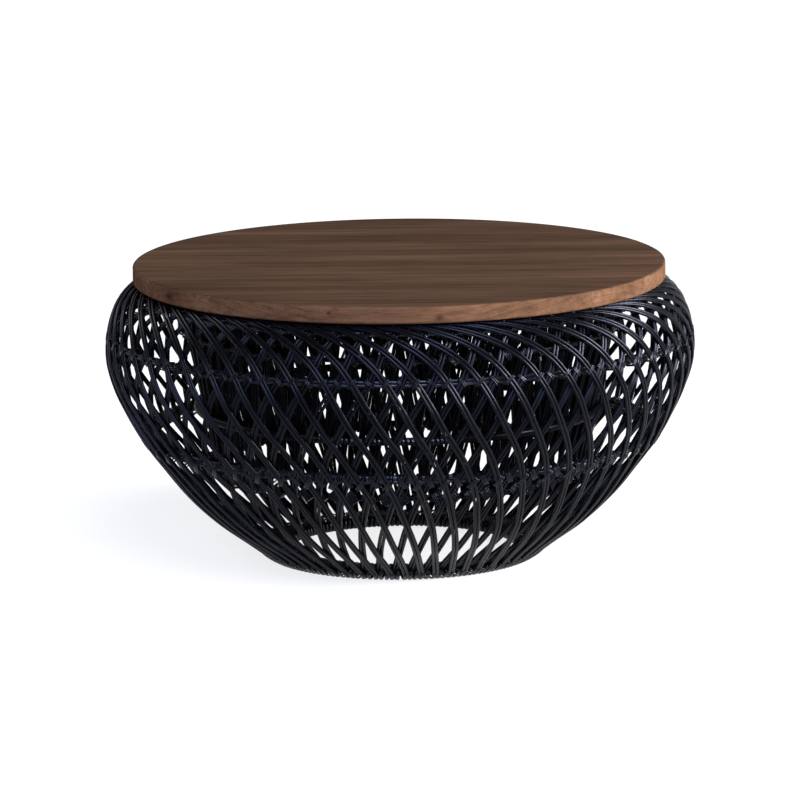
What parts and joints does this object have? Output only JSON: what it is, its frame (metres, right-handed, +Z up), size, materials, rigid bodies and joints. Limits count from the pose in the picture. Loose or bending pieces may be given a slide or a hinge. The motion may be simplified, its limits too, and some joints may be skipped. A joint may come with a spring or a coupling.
{
  "type": "wicker coffee table",
  "caption": "Low round coffee table: a swirling double-walled basket of black canes on a bound base ring, with a round wooden plank top that lifts off.",
  "frame": {"origin": "on the floor, under the middle of the table", "axes": "+Z up; the boards of the top run along X; -Y is the front; the table is round, so front and sides differ only in the run of the boards"},
  "size_m": [0.8002, 0.8002, 0.403],
  "materials": {
    "top_wood": "oiled, satin, with a straight fine grain",
    "batten_wood": "planed, unfinished",
    "dowel_wood": "plain",
    "screw_steel": "zinc plated",
    "black_cane": "black lacquer, satin",
    "black_binding": "black lacquer, satin, split cane strip"
  },
  "bodies": {
    "basket": {"base_ring": "black_cane", "base_ring_binding": "black_binding", "belly_hoop_lower_rod": "black_cane", "belly_hoop_upper_rod": "black_cane", "belly_lashings": "black_binding", "crest_hoop": "black_cane", "crest_lashings": "black_binding", "drum_left_canes_1": "black_cane", "drum_left_canes_2": "black_cane", "drum_left_canes_3": "black_cane", "drum_left_canes_4": "black_cane", "drum_lower_hoop": "black_cane", "drum_lower_lashings": "black_binding", "drum_middle_binding": "black_binding", "drum_middle_hoop": "black_cane", "drum_right_canes_1": "black_cane", "drum_right_canes_2": "black_cane", "drum_right_canes_3": "black_cane", "drum_right_canes_4": "black_cane", "drum_top_hoop": "black_cane", "drum_upper_hoop": "black_cane", "drum_upper_lashings": "black_binding", "lower_hoop_lower_rod": "black_cane", "lower_hoop_upper_rod": "black_cane", "lower_lashings": "black_binding", "outer_left_canes_1": "black_cane", "outer_left_canes_2": "black_cane", "outer_left_canes_3": "black_cane", "outer_left_canes_4": "black_cane", "outer_left_canes_5": "black_cane", "outer_left_canes_6": "black_cane", "outer_right_canes_1": "black_cane", "outer_right_canes_2": "black_cane", "outer_right_canes_3": "black_cane", "outer_right_canes_4": "black_cane", "outer_right_canes_5": "black_cane", "outer_right_canes_6": "black_cane"},
    "top": {"batten_screws": "screw_steel", "board_dowels": "dowel_wood", "left_batten": "batten_wood", "right_batten": "batten_wood", "top_board_1": "top_wood", "top_board_2": "top_wood", "top_board_3": "top_wood", "top_board_4": "top_wood", "top_board_5": "top_wood", "top_board_6": "top_wood", "top_board_7": "top_wood"}
  },
  "joints": [
    {"name": "top_lift", "type": "slide", "parent": "basket", "child": "top", "axis": [0, 0, 1], "range_m": [0, 0.12]}
  ]
}
